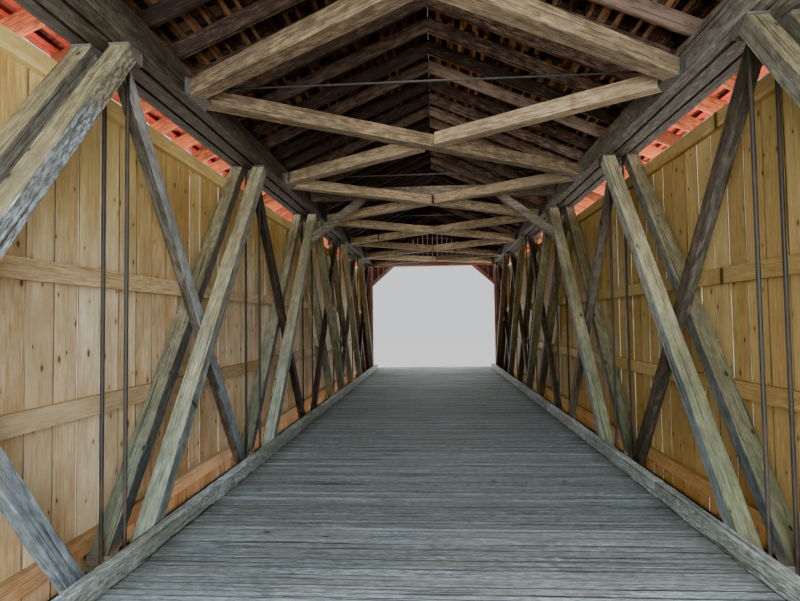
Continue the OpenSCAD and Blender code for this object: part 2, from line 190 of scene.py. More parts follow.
def face_finish(obj, finishes, pick):
    """Gives each face one of the finishes. pick turns the face normals into the finishes' numbers."""
    mesh = obj.data
    mesh.materials.clear()
    for name in finishes:
        mesh.materials.append(MATS[name])
    normal = np.empty(len(mesh.polygons) * 3)
    mesh.polygons.foreach_get("normal", normal)
    mesh.polygons.foreach_set("material_index", pick(normal.reshape(-1, 3)).astype(int))
    mesh.update()


def inward(side, least):
    """Picks the faces of a timber on one side of the bridge that look toward the roadway."""
    return lambda normal: normal[:, 0] * side < -least


def drop(obj):
    """Removes a model that the copies were made from."""
    bpy.data.objects.remove(obj, do_unlink=True)


def share_out(lo, hi, wide):
    """How many boards about so wide fill the bridge from lo to hi, and the step from one to the next."""
    count = round((hi.y - lo.y) / wide)
    return count, (hi.y - lo.y) / count


def rows(obj, count, step):
    """Repeats a board count times by an array, applied. Returns the points as (board, vertex, xyz)."""
    per = len(obj.data.vertices)
    clear_selection()
    obj.select_set(True)
    bpy.context.view_layer.objects.active = obj
    mod = obj.modifiers.new("rows", "ARRAY")
    mod.use_relative_offset = False
    mod.use_constant_offset = True
    mod.constant_offset_displace = step
    mod.count = count
    bpy.ops.object.modifier_apply(modifier="rows")
    return points(obj.data).reshape(count, per, 3)


def two_point(p, q):
    """The place of a bar along Y that runs from p to q, with its width across the bridge."""
    p, q = Vector(p), Vector(q)
    y = (q - p).normalized()
    x = Vector(X_AXIS)
    x = (x - y * x.dot(y)).normalized()
    m = Matrix((x, y, x.cross(y))).transposed().to_4x4()
    m.translation = (p + q) / 2
    return m


def laid(x, y, z):
    """The turn that lays a board's X, Y and Z along the given axes of the bridge."""
    return Matrix((x, y, z)).transposed().to_4x4()


def board_grain(rng, local, order):
    """Grain that starts anew on each board of (board, vertex, xyz), and one tone a board."""
    count, per = local.shape[:2]
    grain = local[..., order] + rng.uniform(-60, 60, (count, 1, 3))
    return grain.reshape(-1, 3), np.repeat(rng.random(count), per)


class Graph:
    """A finish of the bridge: adds its nodes and joins them. A value is a number, a colour or an output."""

    def __init__(self, name):
        self.mat = MATS[name] = bpy.data.materials.new(name)
        self.mat.use_nodes = True
        self.tree = self.mat.node_tree
        self.tree.nodes.clear()
        self.shader = self.add("ShaderNodeBsdfPrincipled")
        self.link(self.shader.outputs["BSDF"], self.add("ShaderNodeOutputMaterial").inputs["Surface"])

    def add(self, kind, **values):
        node = self.tree.nodes.new(kind)
        for key, value in values.items():
            setattr(node, key, value)
        return node

    def link(self, a, b):
        self.tree.links.new(a, b)

    def feed(self, socket, value):
        """Joins an output to a socket, or sets the socket to a value."""
        if hasattr(value, "links"):
            self.link(value, socket)
        else:
            socket.default_value = value

    def place(self):
        return self.add("ShaderNodeTexCoord").outputs["Object"]

    def own(self, name, output="Fac"):
        return self.add("ShaderNodeAttribute", attribute_name=name).outputs[output]

    def math(self, op, *values, clamp=False):
        node = self.add("ShaderNodeMath", operation=op, use_clamp=clamp)
        for socket, value in zip(node.inputs, values):
            self.feed(socket, value)
        return node.outputs[0]

    def weigh(self, a, part_a, b, part_b):
        return self.math("ADD", self.math("MULTIPLY", a, part_a), self.math("MULTIPLY", b, part_b))

    def nudge(self, value, by, amount, middle=0.5):
        """Moves a value by how far another one is from its middle."""
        return self.math("ADD", value, self.math("MULTIPLY", self.math("SUBTRACT", by, middle), amount))

    def vector_math(self, op, a, b):
        node = self.add("ShaderNodeVectorMath", operation=op)
        self.link(a, node.inputs[0])
        self.feed(node.inputs[3 if op == "SCALE" else 1], b)
        return node.outputs[0]

    def stretch(self, vector, scale, rotation=(0, 0, 0)):
        node = self.add("ShaderNodeMapping")
        self.link(vector, node.inputs["Vector"])
        node.inputs["Rotation"].default_value = rotation
        node.inputs["Scale"].default_value = scale
        return node.outputs[0]

    def noise(self, vector, scale, detail=4.0, rough=0.55, distortion=0.0, output="Fac"):
        """Clouds, with their scale along each axis."""
        node = self.add("ShaderNodeTexNoise")
        self.link(self.stretch(vector, scale), node.inputs["Vector"])
        settings = {"Scale": 1.0, "Detail": detail, "Roughness": rough, "Distortion": distortion}
        for key, value in settings.items():
            node.inputs[key].default_value = value
        return node.outputs[output]

    def ramp(self, value, stops):
        """Colours, or shares from 0 to 1, for a range of values."""
        node = self.add("ShaderNodeValToRGB")
        self.link(value, node.inputs["Fac"])
        elements = node.color_ramp.elements
        while len(elements) < len(stops):
            elements.new(0.5)
        for element, (position, colour) in zip(elements, stops):
            element.position = position
            element.color = (*colour, 1.0) if isinstance(colour, tuple) else (colour, colour, colour, 1.0)
        return node.outputs["Color"]

    def mix(self, kind, part, a, b):
        node = self.add("ShaderNodeMix", data_type="RGBA", blend_type=kind)
        self.feed(node.inputs[0], part)
        self.feed(node.inputs[6], a if hasattr(a, "links") else (*a, 1.0))
        self.feed(node.inputs[7], b if hasattr(b, "links") else (*b, 1.0))
        return node.outputs[2]

    def surface(self, colour, rough, gloss=None, height=None, strength=0.0, distance=0.0):
        """Colour, roughness, gloss and relief of the finish."""
        inputs = self.shader.inputs
        self.link(colour, inputs["Base Color"])
        self.feed(inputs["Roughness"], rough)
        if gloss is not None:
            inputs["Specular IOR Level"].default_value = gloss
        if height is not None:
            node = self.add("ShaderNodeBump")
            self.link(height, node.inputs["Height"])
            node.inputs["Strength"].default_value = strength
            node.inputs["Distance"].default_value = distance
            self.link(node.outputs["Normal"], inputs["Normal"])


def shade(colour, part):
    """A darker or lighter shade of a colour."""
    return tuple(min(1.0, c * part) for c in colour)


def tint_and_shade_zone(g, colour, value, axis, start, end, amount, kind, tint):
    """Changes a finish along an axis of the bridge, from start to end: red paint, a darker or bluer tint, or
    painted shade.
    Across the bridge both sides change alike. A mixed tint keeps the shades of the wood."""
    obj = g.place()
    split = g.add("ShaderNodeSeparateXYZ")
    g.link(obj, split.inputs[0])
    along = g.math("ABSOLUTE", split.outputs[0]) if axis == 0 else split.outputs[axis]
    along = g.nudge(along, g.noise(obj, (3, 3, 3), 4, 0.6), abs(end - start))
    part = g.math("DIVIDE", g.math("SUBTRACT", along, start), end - start, clamp=True)
    if kind == "MIX":
        tint = g.ramp(value, [(0.25, shade(tint, 0.35)), (0.5, tint), (0.8, shade(tint, 1.5))])
    return g.mix(kind, g.math("MULTIPLY", part, amount), colour, tint)


def add_knots(g, colour, vec, dark, share):
    """Round knots with a brown halo, on a share of the cells of a pattern."""
    cells = g.add("ShaderNodeTexVoronoi", voronoi_dimensions="2D")
    wobble = g.vector_math("SCALE", g.noise(vec, (150, 110, 150), 2, 0.5, output="Color"), 0.05)
    g.link(g.vector_math("ADD", g.stretch(vec, (5.0, 2.6, 5.0)), wobble), cells.inputs["Vector"])
    cells.inputs["Scale"].default_value = 1.0
    pick = g.add("ShaderNodeSeparateColor")
    g.link(cells.outputs["Color"], pick.inputs[0])
    some = g.math("GREATER_THAN", pick.outputs[0], 1.0 - share)
    size = g.math("MULTIPLY_ADD", pick.outputs[1], 0.05, 0.035)
    for reach, strength, depth, tint in ((2.4, 0.8, 1.0, dark), (1.0, 0.92, 3.0, shade(dark, 0.22))):
        part = g.math("DIVIDE", cells.outputs["Distance"], g.math("MULTIPLY", size, reach))
        part = g.math("SUBTRACT", 1.0, part, clamp=True)
        part = g.math("MULTIPLY", g.math("MULTIPLY", part, depth, clamp=True), some)
        colour = g.mix("MIX", g.math("MULTIPLY", part, strength), colour, tint)
    return colour


def wood(name, dark, mid, light, grain=None, stain=(0.10, 0.09, 0.08), stained=0.5, cracks=0.6,
         knots=0.0, rings=0.1, spread=0.35, step=None, rough=0.82, relief=1.0, edge=0.0, edge_from=0.8,
         mottled=0.45, streak=(26, 8, 26), zones=()):
    """Sawn timber: fibres, rings, stains, drying cracks, knots, and one shade a piece.
    grain turns object coordinates so that Y is the grain. Without it the piece's own attribute is read."""
    g = Graph(name)
    if grain is None:
        vec, tone = g.own("grain", "Vector"), g.own("tone")
    else:
        obj = g.place()
        vec = g.stretch(obj, (1, 1, 1), grain)
        cell = g.add("ShaderNodeTexWhiteNoise")
        g.link(g.vector_math("SNAP", obj, step or (9, 9, 9)), cell.inputs["Vector"])
        tone = cell.outputs["Value"]
    fibre = g.noise(vec, (170, 3.2, 170), 5, 0.62)
    ring = g.math("SINE", g.math("MULTIPLY", g.noise(vec, (9, 0.5, 9), 2, 0.5, 0.4), 75.0))
    value = g.weigh(fibre, 1.0 - rings, g.math("MULTIPLY_ADD", ring, 0.5, 0.5), rings)
    value = g.nudge(value, tone, spread)
    value = g.nudge(value, g.noise(vec, streak, 7, 0.72), mottled)
    colour = g.ramp(value, [(0.22, dark), (0.5, mid), (0.78, light)])
    speck = g.ramp(g.noise(vec, (120, 60, 120), 3, 0.6), [(0.62, 0.0), (0.72, 1.0)])
    blotch = g.noise(vec, (3.0, 0.9, 3.0), 5, 0.6)
    dirt = g.ramp(blotch, [(0.38, 1.0), (0.62, 0.0)])
    split = g.ramp(g.noise(vec, (75, 0.8, 75), 2, 0.45), [(0.0, 1.0), (0.33, 1.0), (0.37, 0.0)])
    for part, strength, tint in ((speck, 0.35, shade(dark, 0.45)), (dirt, stained, stain),
                                 (split, cracks, shade(dark, 0.25))):
        colour = g.mix("MIX", g.math("MULTIPLY", part, strength), colour, tint)
    for zone in zones:
        colour = tint_and_shade_zone(g, colour, value, *zone)
    if edge:
        across = g.nudge(g.math("ABSOLUTE", g.own("across")), blotch, 0.25)
        rim = g.ramp(across, [(edge_from, 0.0), (0.985, 1.0)])
        colour = g.mix("MIX", g.math("MULTIPLY", rim, edge), colour, shade(dark, 0.3))
    if knots:
        colour = add_knots(g, colour, vec, dark, knots)
    g.surface(colour, g.math("MULTIPLY_ADD", fibre, 0.25, rough - 0.12), 0.3,
              g.weigh(fibre, 0.35, split, -1.0), 0.55 * relief, 0.004)


def painted(name, coat, worn, grain=None, bare=(0.30, 0.24, 0.19), flake=0.42):
    """Old paint on boards: faded, with the grain showing through and patches worn to the wood."""
    g = Graph(name)
    if grain is None:
        vec, tone = g.own("grain", "Vector"), g.own("tone")
    else:
        obj = g.place()
        vec = g.stretch(obj, (1, 1, 1), grain)
        tone = g.noise(obj, (0.7, 0.7, 0.7), 1)
    fibre = g.noise(vec, (150, 3.0, 150), 5, 0.6)
    cloud = g.noise(vec, (1.7, 0.6, 1.7), 5, 0.6)
    value = g.nudge(g.weigh(fibre, 0.5, cloud, 0.5), tone, 0.25)
    colour = g.ramp(value, [(0.25, shade(coat, 0.6)), (0.5, coat), (0.75, worn)])
    gone = g.math("MULTIPLY", g.noise(vec, (60, 2.0, 60), 4, 0.6), g.math("ADD", cloud, 0.45))
    gone = g.ramp(gone, [(flake, 0.0), (flake + 0.08, 1.0)])
    colour = g.mix("MIX", g.math("MULTIPLY", gone, 0.7), colour, bare)
    g.surface(colour, g.math("MULTIPLY_ADD", fibre, 0.3, 0.6), 0.3,
              g.weigh(fibre, 0.5, gone, -0.4), 0.45, 0.003)


def old_iron(name):
    """Dark wrought iron: worn paint, a little rust, dull gloss."""
    g = Graph(name)
    obj = g.place()
    rust = g.noise(obj, (14, 14, 5), 6, 0.65)
    colour = g.ramp(rust, [(0.35, (0.016, 0.013, 0.011)), (0.52, (0.036, 0.028, 0.022)),
                           (0.72, (0.09, 0.05, 0.03))])
    g.shader.inputs["Metallic"].default_value = 0.15
    g.surface(colour, g.ramp(rust, [(0.35, 0.55), (0.7, 0.85)]), None,
              g.noise(obj, (160, 160, 90), 3, 0.6), 0.35, 0.002)


def field_stone(name, laid_stones=True):
    """Split grey stone with lichen and damp streaks."""
    g = Graph(name)
    if laid_stones:
        vec, tone = g.own("grain", "Vector"), g.own("tone")
    else:
        vec = g.place()
        tone = g.noise(vec, (1, 1, 1), 1)
    big = g.noise(vec, (3, 3, 5), 6, 0.62, 0.3)
    fine = g.noise(vec, (45, 45, 60), 5, 0.65)
    value = g.nudge(g.weigh(big, 0.6, fine, 0.25), tone, 0.3, 0.35)
    colour = g.ramp(value, [(0.2, (0.12, 0.115, 0.105)), (0.45, (0.27, 0.26, 0.235)),
                            (0.62, (0.38, 0.36, 0.32)), (0.8, (0.47, 0.45, 0.40))])
    moss = g.ramp(g.noise(vec, (7, 7, 7), 7, 0.7), [(0.56, 0.0), (0.68, 0.6)])
    colour = g.mix("MIX", moss, colour, (0.17, 0.18, 0.10))
    g.surface(colour, 0.9, 0.25, g.weigh(big, 1.0, fine, 0.3), 0.8, 0.02)


def plain(name, colour, rough):
    """An even finish with the faintest clouds in it."""
    g = Graph(name)
    tint = g.noise(g.place(), (0.2, 0.2, 0.2), 2)
    g.surface(g.ramp(tint, [(0.3, shade(colour, 0.96)), (0.7, colour)]), rough)


# Turns that lay the grain of the wood along an axis of the bridge
ALONG_Y = (0, 0, 0)
ALONG_X = (0, 0, math.pi / 2)
ALONG_Z = (math.pi / 2, 0, 0)
MATS = {}


def make_finishes():
    """Every finish. A zone is an axis, a start, an end, a strength, a way of mixing and a tint."""
    # the braces are darker and bluer toward their feet, and toward the far end they are darker and browner:
    # painted shade, as less of the near portal's light reaches them
    darker_bluer_feet = (2, DECK_HI.z + 2.6, DECK_HI.z + 0.5, 1.0, "MULTIPLY", (0.60, 0.77, 1.0))
    far_end_shade = (1, -2.0, 4.0, 0.85, "MULTIPLY", (0.62, 0.50, 0.40))
    main = dict(stained=0.65, cracks=0.85)
    # the left braces are painted lighter, as lit, and the right braces darker, as in painted shade
    wood("weathered brace", (0.12, 0.095, 0.05), (0.35, 0.295, 0.16), (0.60, 0.53, 0.33), **main,
         stain=(0.15, 0.115, 0.06), knots=0.3, mottled=1.0, zones=[darker_bluer_feet, far_end_shade])
    wood("right brace in painted shade", (0.09, 0.07, 0.035), (0.255, 0.21, 0.11), (0.45, 0.385, 0.225), **main,
         stain=(0.11, 0.085, 0.045), knots=0.3, spread=0.3, mottled=1.0,
         zones=[(*darker_bluer_feet[:5], (0.50, 0.60, 0.63)), far_end_shade])
    # the faces toward the roadway: blue-grey painted sky light on the inner braces, painted shade on the
    # outer braces
    wood("brace side", (0.09, 0.08, 0.055), (0.22, 0.20, 0.145), (0.40, 0.38, 0.30), **main,
         stain=(0.085, 0.07, 0.045), knots=0.25, rings=0.08, mottled=1.4, zones=[darker_bluer_feet, far_end_shade])
    wood("shaded brace side", (0.06, 0.052, 0.036), (0.19, 0.165, 0.12), (0.36, 0.325, 0.25),
         stain=(0.075, 0.06, 0.04), stained=0.6, cracks=0.7, rings=0.08, spread=0.4, mottled=1.0,
         zones=[darker_bluer_feet])
    # the roadway faces of the near left braces: pale blue-grey painted sky light, giving way to brown near
    # the top
    wood("rough side in painted sky light", (0.08, 0.08, 0.07), (0.31, 0.335, 0.34), (0.68, 0.72, 0.76),
         stain=(0.17, 0.16, 0.13), cracks=0.9, rings=0.05, spread=0.3, relief=2.2, mottled=2.2,
         streak=(60, 14, 60),
         zones=[(2, CAP_LO.z - 0.75, CAP_LO.z - 0.55, 0.9, "MIX", (0.24, 0.19, 0.11))])
    # painted light and shade on the counters: the near left counter and the left roadway faces lighter, as
    # lit; the right roadway faces, the fronts and the undersides near black, in painted shade
    counter = dict(stained=0.6, cracks=0.7, knots=0.2, rings=0.12, spread=0.4, mottled=1.2)
    wood("left counter side", (0.08, 0.07, 0.055), (0.23, 0.215, 0.185), (0.44, 0.43, 0.40),
         **{**counter, "spread": 0.5}, stain=(0.09, 0.075, 0.055), zones=[darker_bluer_feet])
    wood("near counter in painted light", (0.14, 0.13, 0.105), (0.42, 0.385, 0.32), (0.70, 0.66, 0.58),
         stain=(0.20, 0.165, 0.12), stained=0.6, cracks=0.8, knots=0.2, spread=0.2, mottled=1.4,
         zones=[darker_bluer_feet])
    wood("right counter side", (0.03, 0.02, 0.013), (0.085, 0.062, 0.04), (0.21, 0.165, 0.115),
         **{**counter, "stained": 0.65}, stain=(0.025, 0.019, 0.013))
    wood("counter front", (0.022, 0.017, 0.012), (0.07, 0.055, 0.038), (0.17, 0.14, 0.10), **counter,
         stain=(0.025, 0.019, 0.013))
    wood("lateral timber", (0.09, 0.055, 0.028), (0.29, 0.193, 0.103), (0.52, 0.38, 0.22),
         stain=(0.09, 0.065, 0.04), cracks=0.7, knots=0.25, rings=0.15, spread=0.4, mottled=1.1)
    chord = dict(grain=ALONG_Y, cracks=0.8, spread=0.3, step=(0.165, 50, 50), mottled=1.3)
    wood("chord timber", (0.017, 0.013, 0.008), (0.052, 0.039, 0.026), (0.13, 0.10, 0.07), **chord,
         stain=(0.025, 0.018, 0.012))
    # the right top chord is painted lighter, for the eave light on its underside
    wood("lighter chord timber", (0.035, 0.026, 0.019), (0.125, 0.10, 0.076), (0.29, 0.24, 0.19), **chord,
         stain=(0.04, 0.03, 0.022))
    wood("angle block", (0.04, 0.033, 0.025), (0.095, 0.08, 0.06), (0.17, 0.15, 0.12), ALONG_X,
         stain=(0.04, 0.035, 0.03), rings=0.3, spread=0.5, step=(50, 1.5, 3))
    # the lower angle blocks are painted dark, for the shade at the feet of the braces
    wood("lower angle block", (0.05, 0.05, 0.04), (0.13, 0.13, 0.10), (0.25, 0.25, 0.205), ALONG_X,
         stain=(0.05, 0.045, 0.035), stained=0.6, spread=0.4, step=(50, 1.5, 50), mottled=1.2)
    floor = dict(stain=(0.05, 0.045, 0.035), rings=0.2, spread=0.5)
    wood("floor timber", (0.04, 0.033, 0.025), (0.10, 0.085, 0.065), (0.18, 0.155, 0.125), ALONG_X,
         step=(50, 0.76, 50), **floor)
    wood("stringer timber", (0.05, 0.04, 0.03), (0.12, 0.10, 0.078), (0.20, 0.175, 0.14), ALONG_Y,
         step=(0.62, 50, 50), **floor)
    # rafters, laths and shingles are red where they run out over the siding
    bare = (0, SKIN_LO.x - 0.12, SKIN_LO.x + 0.08, 0.95, "MIX")
    # the right rafters and laths are painted lighter and the left ones darker: painted light from the right
    # eave on the underside of the roof
    for side, turn, light in (("right", PITCH, 1.75), ("left", -PITCH, 0.85)):
        wood("rafter " + side, (0.022, 0.012, 0.008), shade((0.07, 0.041, 0.027), light),
             shade((0.20, 0.125, 0.085), light), (0, -turn, math.pi / 2), stain=(0.04, 0.023, 0.015),
             cracks=0.5, spread=0.6, step=(50, 0.254, 50), mottled=1.3,
             zones=[(*bare, (0.45, 0.12, 0.045))])
        wood("roof lath " + side, (0.03, 0.016, 0.009), shade((0.14, 0.075, 0.04), light),
             shade((0.31, 0.155, 0.077), light), ALONG_Y, stain=(0.03, 0.017, 0.01), cracks=0.5, spread=0.8,
             step=(0.137, 3.9, 50), mottled=1.3, zones=[(*bare, (0.42, 0.05, 0.022))])
    shingle = dict(dark=(0.018, 0.011, 0.008), mid=(0.05, 0.03, 0.021), light=(0.14, 0.085, 0.055),
                   stain=(0.02, 0.012, 0.008), relief=1.3, mottled=1.0)
    wood("split shingle", **shingle, spread=0.5)
    wood("shingle underside", **shingle, spread=1.0, zones=[(*bare, (0.15, 0.03, 0.02))])
    deck_edge = (0, CURB_HI.x - 0.28, CURB_HI.x - 0.08, 0.8, "MULTIPLY", (0.48, 0.46, 0.38))
    wood("worn deck board", (0.065, 0.073, 0.07), (0.215, 0.257, 0.262), (0.46, 0.53, 0.56),
         stain=(0.155, 0.14, 0.125), cracks=1.0, knots=0.1, rings=0.0, spread=0.22, relief=1.6,
         edge=0.95, edge_from=0.8, mottled=1.5, streak=(80, 16, 80), zones=[deck_edge])
    curb = dict(cracks=0.9, rings=0.05, spread=0.15, relief=1.8, mottled=1.9, streak=(60, 12, 60))
    wood("curb timber", (0.11, 0.122, 0.122), (0.37, 0.42, 0.45), (0.66, 0.72, 0.77), **curb,
         stain=(0.165, 0.16, 0.085), stained=0.7)
    # the roadway faces of the curbs are darker than their lit tops: moss, and painted shade
    wood("mossy curb side in painted shade", (0.08, 0.085, 0.075), (0.27, 0.29, 0.27), (0.50, 0.54, 0.53), **curb,
         stain=(0.13, 0.13, 0.09), stained=0.6)
    # the left wall is painted paler and warmer, as lit, and the right wall darker, as in shade; the left wall
    # has painted shade under the eave and on its low girt
    lit_pine = dict(dark=(0.40, 0.22, 0.09), mid=(0.74, 0.555, 0.33), light=(0.90, 0.77, 0.54))
    shaded_pine = dict(dark=(0.24, 0.125, 0.032), mid=(0.45, 0.295, 0.095), light=(0.64, 0.47, 0.20))
    shaded = (2, DECK_HI.z + 1.9, DECK_HI.z + 2.9, 1.0, "MULTIPLY", (0.95, 0.86, 0.52))
    low_girt_shade = (2, DECK_HI.z + 1.7, DECK_HI.z + 1.4, 1.0, "MULTIPLY", (0.72, 0.67, 0.60))
    for side, pine, zones in (("left", lit_pine, [shaded, low_girt_shade]), ("right", shaded_pine, [])):
        pine.update(rings=0.07, rough=0.72, relief=0.5)
        wood("pine board " + side, **pine, stain=(0.36, 0.20, 0.07), stained=0.6, cracks=0.2, knots=0.85,
             spread=0.28, edge=1.0, edge_from=0.93, mottled=0.5, zones=zones[:1])
        wood("pine girt " + side, **pine, grain=ALONG_Y, stain=(0.34, 0.20, 0.08), cracks=0.25, knots=0.6,
             spread=0.3, step=(50, 4.8, 0.9), mottled=0.6, zones=zones)
    wood("board edge in painted light", (0.45, 0.33, 0.2), (0.78, 0.66, 0.48), (0.9, 0.82, 0.66), rings=0.25, spread=0.1,
         stained=0.1, cracks=0.1)
    wood("brown beam", (0.06, 0.045, 0.03), (0.21, 0.155, 0.10), (0.40, 0.31, 0.22), ALONG_X,
         stain=(0.07, 0.05, 0.035), cracks=0.7, spread=0.4, mottled=1.1)
    wood("ridge board", (0.05, 0.035, 0.025), (0.12, 0.09, 0.068), (0.22, 0.18, 0.145), ALONG_Y,
         stain=(0.06, 0.045, 0.035), rings=0.2, spread=0.4, step=(0.15, 4.1, 50))
    painted("red board", (0.15, 0.022, 0.015), (0.21, 0.04, 0.028), bare=(0.13, 0.055, 0.04), flake=0.36)
    for name, grain in (("red post", ALONG_Z), ("red beam", ALONG_X)):
        painted(name, (0.33, 0.085, 0.06), (0.52, 0.21, 0.16), grain)
    old_iron("old iron")
    field_stone("field stone")
    field_stone("mortar bed", laid_stones=False)
    plain("studio floor", (0.78, 0.78, 0.76), 0.8)


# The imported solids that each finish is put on. "side" stands for left and right
NODE_FINISH = {
    "floor timber": "bed_timbers floor_beams",
    "stringer timber": "stringers",
    "chord timber": "side_bottom_chord left_top_chord deck curbs",
    "lighter chord timber": "right_top_chord",
    "old iron": "side_truss_rods lower_rod_plates upper_rod_plates lateral_tie_rods",
    "lower angle block": "lower_angle_blocks",
    "angle block": "upper_angle_blocks lateral_blocks side_main_braces side_counter_braces lateral_braces",
    "rafter side": "side_rafters",
    "roof lath side": "side_roof_lath",
    "ridge board": "ridge_cap side_shingles",
    "pine girt side": "side_girts side_siding",
    "red post": "portal_posts near_portal_boards far_portal_boards",
    "red beam": "portal_headers portal_corner_braces barge_boards",
    "brown beam": "midspan_tie_beam knee_braces",
    "mortar bed": "back_walls near_abutment far_abutment",
}


class BridgeBoards(bpy.types.PropertyGroup):
    plank: bpy.props.FloatProperty(name="Deck plank width", description="Width of a deck plank with its gap",
                                   default=0.082, unit="LENGTH")
    plank_gap: bpy.props.FloatProperty(name="Deck gap", description="Gap between two deck planks",
                                       default=0.006, unit="LENGTH")
    board: bpy.props.FloatProperty(name="Siding board width",
                                   description="Width of a siding board with its gap",
                                   default=0.26, unit="LENGTH")
    joint: bpy.props.FloatProperty(name="Siding joint", description="Gap between two siding boards",
                                   default=0.006, unit="LENGTH")
    open_joints: bpy.props.FloatProperty(name="Open joints",
                                         description="Share of the siding joints that let light in",
                                         default=0.22, min=0.0, max=1.0, subtype="FACTOR")
    shingle: bpy.props.FloatProperty(name="Shingle width", description="Mean width of a shingle",
                                     default=0.125, unit="LENGTH")


class BridgeTimbers(bpy.types.PropertyGroup):
    arris: bpy.props.FloatProperty(name="Worn edge", description="Size of the worn edge on a truss timber",
                                   default=0.007, unit="LENGTH")
    wear: bpy.props.FloatProperty(name="Wear", description="How far the surface of a timber wanders",
                                  default=0.0014, unit="LENGTH")


class BridgeStage(bpy.types.PropertyGroup):
    sky: bpy.props.FloatProperty(name="Sky", description="Strength of the even light from all round",
                                 default=1.0)
    fill: bpy.props.FloatProperty(name="Fill", description="Strength of the lamps inside", default=1.0)
    sky_colour: bpy.props.FloatVectorProperty(name="Sky colour", description="Colour of the even light",
                                              size=3, subtype="COLOR", default=(0.93, 0.97, 1.0))


# The pieces of the bridge

class BRIDGE_OT_finishes(bpy.types.Operator):
    """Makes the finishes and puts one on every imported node"""
    bl_idname = "bridge.finishes"
    bl_label = "Finishes"

    def execute(self, context):
        make_finishes()
        finish_of = {node.replace("side_", side + "_"): finish.replace("side", side)
                     for side in ("left", "right") for finish, nodes in NODE_FINISH.items()
                     for node in nodes.split()}
        for name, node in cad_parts.items():
            node.data.materials.clear()
            node.data.materials.append(MATS[finish_of[name]])
        return {"FINISHED"}


class BRIDGE_OT_deck(bpy.types.Operator):
    """Lays the worn deck planks"""
    bl_idname = "bridge.deck"
    bl_label = "Deck planks"

    def execute(self, context):
        s = context.scene.bridge_boards
        rng = np.random.default_rng(11)
        count, step = share_out(DECK_LO, DECK_HI, s.plank)
        thick = DECK_HI.z - DECK_LO.z
        # the worn edge, the gap at the ends, and how much the widths, ends and heights differ
        arris, end_gap, uneven, wander, lowest = 0.006, 0.01, 0.3, 0.004, 0.0065
        # how rough the tops and sides are, and how deep and wide the roadway is hollowed
        rough_top, rough_side, hollow, path = 0.0018, 0.0012, 0.004, 0.9
        upper = 0.02
        src = bar((step - s.plank_gap, DECK_HI.x - DECK_LO.x - end_gap, thick), arris, cuts=11, segments=2)
        src.data.transform(Matrix.Rotation(math.pi / 2, 4, "Z"))
        co = rows(src, count, (0, step, 0))
        co[..., 1] += DECK_LO.y + step / 2
        co[..., 2] += (DECK_LO.z + DECK_HI.z) / 2
        local = co - co.mean(axis=1, keepdims=True)
        grain, tone = board_grain(rng, local, [1, 0, 2])
        across = local[..., 1] / (step - s.plank_gap) * 2
        # planks of uneven width
        ends = rng.uniform(-uneven, uneven, count + 1) * step
        ends[0] = ends[-1] = 0
        wide = (step + np.diff(ends) - s.plank_gap * rng.uniform(0.5, 1.3, count)).reshape(count, 1)
        middle = co[..., 1].mean(axis=1, keepdims=True) + ((ends[1:] + ends[:-1]) / 2).reshape(count, 1)
        co[..., 1] = middle + across / 2 * wide
        co[..., 0] += rng.uniform(-wander, wander, (count, 1))
        # tops at uneven heights, and hollowed along the middle of the roadway
        top = local[..., 2] > upper
        lift = rng.uniform(-lowest, 0.0, (count, 1)) + rng.uniform(-rough_top, rough_top, co.shape[:2])
        worn = -hollow * np.exp(-((co[..., 0] / path) ** 2))
        co[..., 2] += np.where(top, np.minimum(lift, 0) + worn, 0)
        co[..., 1] += rng.uniform(-rough_side, rough_side, co.shape[:2])
        set_points(src.data, co.reshape(-1, 3))
        mark_grain(src.data, grain, tone, across.ravel())
        deck = settle(src, "deck_planks", MATS["worn deck board"])
        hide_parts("deck")
        return {"FINISHED"}


class BRIDGE_OT_curbs(bpy.types.Operator):
    """Sets the worn curb timbers in lengths"""
    bl_idname = "bridge.curbs"
    bl_label = "Curbs"

    def execute(self, context):
        rng = np.random.default_rng(12)
        lo, hi = CURB_LO, CURB_HI
        wide, lengths, joint, lower = 0.09, 4, 0.006, 0.02
        # how deep each side is worn: the inner bottom edge, the top, the back and the face
        rotten, top_wear, back_wear, face_wear = 0.022, 0.005, 0.002, 0.005
        ends = np.linspace(lo.y, hi.y, lengths + 1)
        made = []
        for side in (-1, 1):
            x = side * (hi.x - wide / 2)
            for a, b in zip(ends[:-1], ends[1:]):
                src = bar((wide, b - a - joint, hi.z - lo.z), 0.008, cuts=34, segments=2)
                o = copy_bar(src, Matrix.Translation((x, (a + b) / 2, (lo.z + hi.z) / 2)), rng, 0.0)
                drop(src)
                co = points(o.data)
                n = len(co)
                low = co[:, 2] < lo.z + lower
                inner = co[:, 0] * side < x * side
                for axis, turn, part, deep in ((2, 1, low & inner, rotten), (2, -1, ~low, top_wear),
                                               (0, -side, ~inner, back_wear), (0, side, inner, face_wear)):
                    co[:, axis] += turn * np.where(part, rng.uniform(0, deep, n), 0)
                set_points(o.data, co)
                # the roadway faces get the darker finish: moss and painted shade
                face_finish(o, ("curb timber", "mossy curb side in painted shade"), inward(side, 0.5))
                made.append(o)
        curbs = join(made, "curb_timbers", MATS["curb timber"])
        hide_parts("curbs")
        return {"FINISHED"}


def brace_ends(i, j, foot, head):
    """Middle of the foot and of the head of a brace from bottom point i to top point j."""
    s = 1 if j > i else -1
    y0, y1 = -HALF + i * PANEL, -HALF + j * PANEL
    return (y0 + s * foot[0], CHORD_HI.z + foot[1]), (y1 - s * head[0], CAP_LO.z - head[1])


def leaning(k):
    """The panel points that the main braces of a panel run from and to: they lean toward midspan."""
    return (k, k + 1) if k < PANELS // 2 else (k + 1, k)


